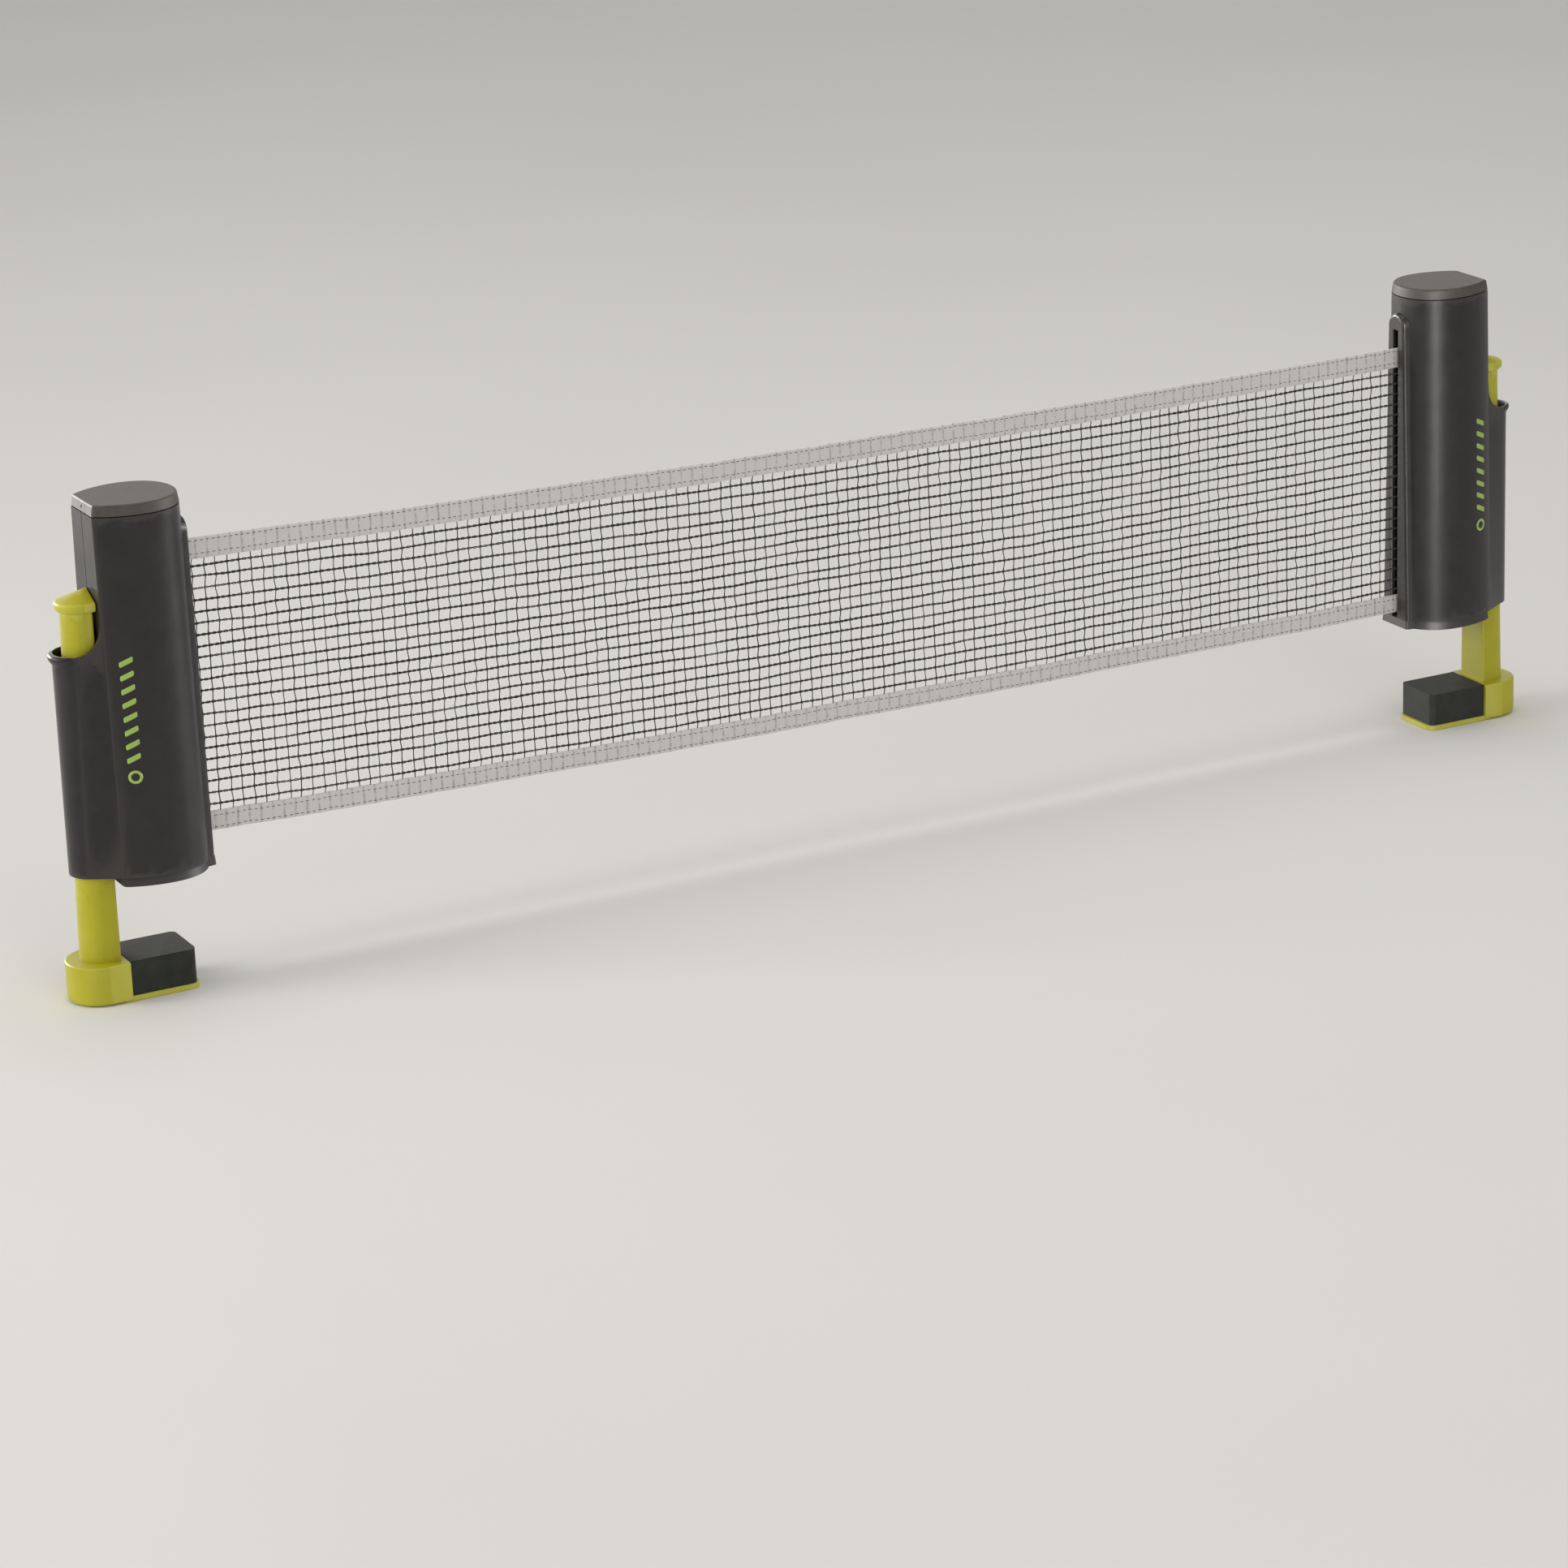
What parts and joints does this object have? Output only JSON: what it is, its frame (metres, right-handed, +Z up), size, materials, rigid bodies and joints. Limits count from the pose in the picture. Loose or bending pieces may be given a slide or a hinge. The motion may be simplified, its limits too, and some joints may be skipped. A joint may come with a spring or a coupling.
{
  "type": "table tennis net clamp",
  "caption": "Retractable table tennis net: clamp-on posts with sprung reels, joined by a mesh net with woven edge tapes.",
  "frame": {"origin": "left reel axis on the underside of the left base plate, where the post stands on the table top", "axes": "+X along the net from the left post to the right one, +Z up, -Y towards the decorated front"},
  "size_m": [0.8176, 0.0486, 0.239],
  "materials": {
    "housing": "satin charcoal",
    "cap": "matt charcoal, fine grain",
    "base": "matt black",
    "clamp_lime": "matt lime",
    "pad_rubber": "matt",
    "inner_plastic": "natural acetal",
    "screw_steel": "zinc plated",
    "spring_steel": "oiled spring steel",
    "net_cord": "black knitted mesh",
    "tape": "light grey woven tape"
  },
  "bodies": {
    "left_post": {"left_shell_front": "housing", "left_shell_rear": "housing", "left_cap": "cap", "left_base_plate": "base", "left_base_screws": "screw_steel", "left_spring_arbor": "inner_plastic", "net_top_tape": "tape", "net_mesh": "net_cord", "net_bottom_tape": "tape"},
    "left_clamp": {"left_clamp_arm": "clamp_lime", "left_thumb_cap": "clamp_lime", "left_jaw_pad": "pad_rubber", "left_clamp_spring": "spring_steel"},
    "left_reel": {"left_reel_tube": "inner_plastic", "left_net_keeper": "inner_plastic", "left_lower_hub": "inner_plastic", "left_spring_drum": "inner_plastic", "left_recoil_spring": "spring_steel", "left_net_roll": "net_cord"},
    "right_post": {"right_shell_front": "housing", "right_shell_rear": "housing", "right_cap": "cap", "right_base_plate": "base", "right_base_screws": "screw_steel", "right_spring_arbor": "inner_plastic"},
    "right_clamp": {"right_clamp_arm": "clamp_lime", "right_thumb_cap": "clamp_lime", "right_jaw_pad": "pad_rubber", "right_clamp_spring": "spring_steel"},
    "right_reel": {"right_reel_tube": "inner_plastic", "right_net_keeper": "inner_plastic", "right_lower_hub": "inner_plastic", "right_spring_drum": "inner_plastic", "right_recoil_spring": "spring_steel", "right_net_roll": "net_cord"}
  },
  "joints": [
    {"name": "net_extension", "type": "slide", "parent": "left_post", "child": "right_post", "axis": [1, 0, 0], "range_m": [-0.66, 0], "deforming": ["net_top_tape", "net_mesh", "net_bottom_tape"]},
    {"name": "left_clamp_slide", "type": "slide", "parent": "left_post", "child": "left_clamp", "axis": [0, 0, 1], "range_m": [-0.008, 0.032], "stiffness_N_per_m": 180, "springref_m": 0.045, "deforming": ["left_clamp_spring"]},
    {"name": "right_clamp_slide", "type": "slide", "parent": "right_post", "child": "right_clamp", "axis": [0, 0, 1], "range_m": [-0.008, 0.032], "stiffness_N_per_m": 180, "springref_m": 0.045, "deforming": ["right_clamp_spring"]},
    {"name": "left_reel_spin", "type": "hinge", "parent": "left_post", "child": "left_reel", "pos_m": [0, 0, 0], "axis": [0, 0, 1], "range_deg": [-1530, 0], "deforming": ["left_recoil_spring", "left_net_roll"]},
    {"name": "right_reel_spin", "type": "hinge", "parent": "right_post", "child": "right_reel", "pos_m": [0.722, 0, 0], "axis": [0, 0, 1], "range_deg": [0, 1530], "deforming": ["right_recoil_spring", "right_net_roll"]}
  ],
  "couplings": [
    {"joint": "left_reel_spin", "follows": "net_extension", "rad_per_m": 40},
    {"joint": "right_reel_spin", "follows": "net_extension", "rad_per_m": -40}
  ]
}
